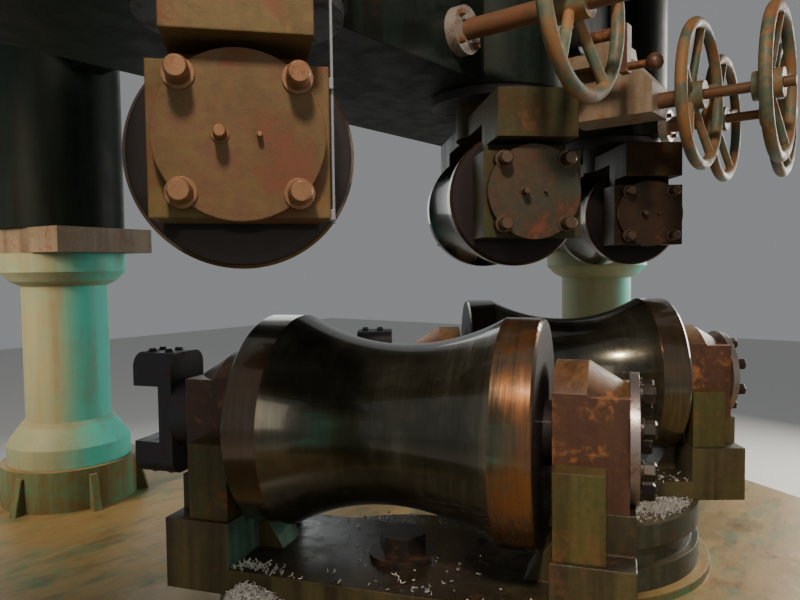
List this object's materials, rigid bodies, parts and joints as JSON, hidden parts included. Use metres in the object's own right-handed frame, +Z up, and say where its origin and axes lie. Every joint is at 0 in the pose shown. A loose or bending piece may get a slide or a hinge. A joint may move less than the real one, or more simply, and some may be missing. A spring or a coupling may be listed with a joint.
{
  "type": "rotary bar straightener",
  "caption": "Rotary bar straightener with concave lower rolls on turntables, smaller upper rolls hung from a column-borne crown, and handwheels.",
  "frame": {"origin": "floor level, on the pass line under the middle upper roll", "axes": "+X along the pass line towards the exit, +Y to the drive side, +Z up"},
  "size_m": [4.367, 4.7797, 3.19],
  "materials": {
    "mint_casting": "mint-green machine paint under oil and rust grime",
    "mint_column": "mint-green paint, streaked with oil",
    "dark_casting": "dark green-black oily casting",
    "olive_casting": "olive paint gone tan and red-brown",
    "rusty_block": "oily rust-brown casting",
    "keeper_paint": "olive-green paint",
    "oily_steel": "dark, oily ground steel with streaks",
    "dark_steel": "dark steel",
    "table_steel": "green-grey table strewn with metal chips",
    "wheel_paint": "green paint worn to brown metal",
    "spacer_steel": "tan, rusty plate"
  },
  "bodies": {
    "frame": {"bed": "mint_casting", "column_entry": "mint_column", "column_drive": "mint_column", "column_exit": "mint_column", "column_operator": "mint_column", "column_nuts": "dark_casting", "crown_spacers": "spacer_steel", "crown": "dark_casting", "crown_arms": "dark_casting", "crown_sleeves": "dark_casting", "stem_covers": "dark_casting", "wheel_bracket": "olive_casting", "wheel_flanges": "dark_steel"},
    "table_front": {"turntable_front": "table_steel", "cradle_front": "table_steel", "pivot_nut_front": "dark_steel", "chocks_front": "rusty_block", "keepers_front": "keeper_paint", "end_cap_front": "spacer_steel"},
    "roll_front": {"lower_roll_front": "oily_steel", "drive_yoke_front": "dark_steel"},
    "table_rear": {"turntable_rear": "table_steel", "cradle_rear": "table_steel", "pivot_nut_rear": "dark_steel", "chocks_rear": "rusty_block", "keepers_rear": "keeper_paint", "end_cap_rear": "spacer_steel"},
    "roll_rear": {"lower_roll_rear": "oily_steel", "drive_yoke_rear": "dark_steel"},
    "swivel_entry": {"swivel_sleeve_entry": "dark_steel"},
    "yoke_entry": {"upper_yoke_entry": "olive_casting", "bearing_caps_entry": "olive_casting"},
    "top_roll_entry": {"upper_roll_entry": "oily_steel"},
    "swivel_middle": {"swivel_sleeve_middle": "dark_steel"},
    "yoke_middle": {"upper_yoke_middle": "olive_casting", "bearing_caps_middle": "olive_casting"},
    "top_roll_middle": {"upper_roll_middle": "oily_steel"},
    "swivel_exit": {"swivel_sleeve_exit": "dark_steel"},
    "yoke_exit": {"upper_yoke_exit": "olive_casting", "bearing_caps_exit": "olive_casting"},
    "top_roll_exit": {"upper_roll_exit": "oily_steel"},
    "wheel_1": {"handwheel_1": "wheel_paint"},
    "wheel_2": {"handwheel_2": "wheel_paint"},
    "wheel_3": {"handwheel_3": "wheel_paint"},
    "wheel_4": {"handwheel_4": "wheel_paint"},
    "wheel_5": {"handwheel_5": "wheel_paint"},
    "crank": {"hand_crank": "spacer_steel"}
  },
  "joints": [
    {"name": "front_table_angle", "type": "hinge", "parent": "frame", "child": "table_front", "pos_m": [-0.475, 0, 0.62], "axis": [0, 0, 1], "range_deg": [-6, 30]},
    {"name": "front_roll_turn", "type": "hinge", "parent": "table_front", "child": "roll_front", "pos_m": [-0.475, 0, 1.214], "axis": [0.342, -0.9397, 0], "continuous": true},
    {"name": "rear_table_angle", "type": "hinge", "parent": "frame", "child": "table_rear", "pos_m": [0.475, 0, 0.62], "axis": [0, 0, 1], "range_deg": [-6, 6]},
    {"name": "rear_roll_turn", "type": "hinge", "parent": "table_rear", "child": "roll_rear", "pos_m": [0.475, 0, 1.214], "axis": [0.6018, -0.7986, 0], "continuous": true},
    {"name": "entry_yoke_angle", "type": "hinge", "parent": "frame", "child": "swivel_entry", "pos_m": [-0.95, 0, 2.09], "axis": [0, 0, 1], "range_deg": [-6, 6]},
    {"name": "entry_yoke_height", "type": "slide", "parent": "swivel_entry", "child": "yoke_entry", "axis": [0, 0, 1], "range_m": [-0.1, 0.035]},
    {"name": "entry_top_roll_turn", "type": "hinge", "parent": "yoke_entry", "child": "top_roll_entry", "pos_m": [-0.95, 0, 1.78], "axis": [-0.6428, -0.766, 0], "continuous": true},
    {"name": "middle_yoke_angle", "type": "hinge", "parent": "frame", "child": "swivel_middle", "pos_m": [0, 0, 2.09], "axis": [0, 0, 1], "range_deg": [-6, 6]},
    {"name": "middle_yoke_height", "type": "slide", "parent": "swivel_middle", "child": "yoke_middle", "axis": [0, 0, 1], "range_m": [-0.1, 0.035]},
    {"name": "middle_top_roll_turn", "type": "hinge", "parent": "yoke_middle", "child": "top_roll_middle", "pos_m": [0, 0, 1.78], "axis": [-0.7193, -0.6947, 0], "continuous": true},
    {"name": "exit_yoke_angle", "type": "hinge", "parent": "frame", "child": "swivel_exit", "pos_m": [0.95, 0, 2.09], "axis": [0, 0, 1], "range_deg": [-6, 6]},
    {"name": "exit_yoke_height", "type": "slide", "parent": "swivel_exit", "child": "yoke_exit", "axis": [0, 0, 1], "range_m": [-0.1, 0.035]},
    {"name": "exit_top_roll_turn", "type": "hinge", "parent": "yoke_exit", "child": "top_roll_exit", "pos_m": [0.95, 0, 1.78], "axis": [-0.766, -0.6428, 0], "continuous": true},
    {"name": "wheel_1_turn", "type": "hinge", "parent": "frame", "child": "wheel_1", "pos_m": [-0.316, -0.3, 2.19], "axis": [0, -1, 0], "continuous": true},
    {"name": "wheel_2_turn", "type": "hinge", "parent": "frame", "child": "wheel_2", "pos_m": [0.418, -0.3, 2.11], "axis": [0, -1, 0], "continuous": true},
    {"name": "wheel_3_turn", "type": "hinge", "parent": "frame", "child": "wheel_3", "pos_m": [0.9, -0.3, 2.122], "axis": [0, -1, 0], "continuous": true},
    {"name": "wheel_4_turn", "type": "hinge", "parent": "frame", "child": "wheel_4", "pos_m": [0.418, -0.3, 2.11], "axis": [0, -1, 0], "continuous": true},
    {"name": "wheel_5_turn", "type": "hinge", "parent": "frame", "child": "wheel_5", "pos_m": [0.9, -0.3, 2.122], "axis": [0, -1, 0], "continuous": true},
    {"name": "crank_turn", "type": "hinge", "parent": "frame", "child": "crank", "pos_m": [0.14, -0.3, 2.255], "axis": [0, -1, 0], "continuous": true}
  ]
}
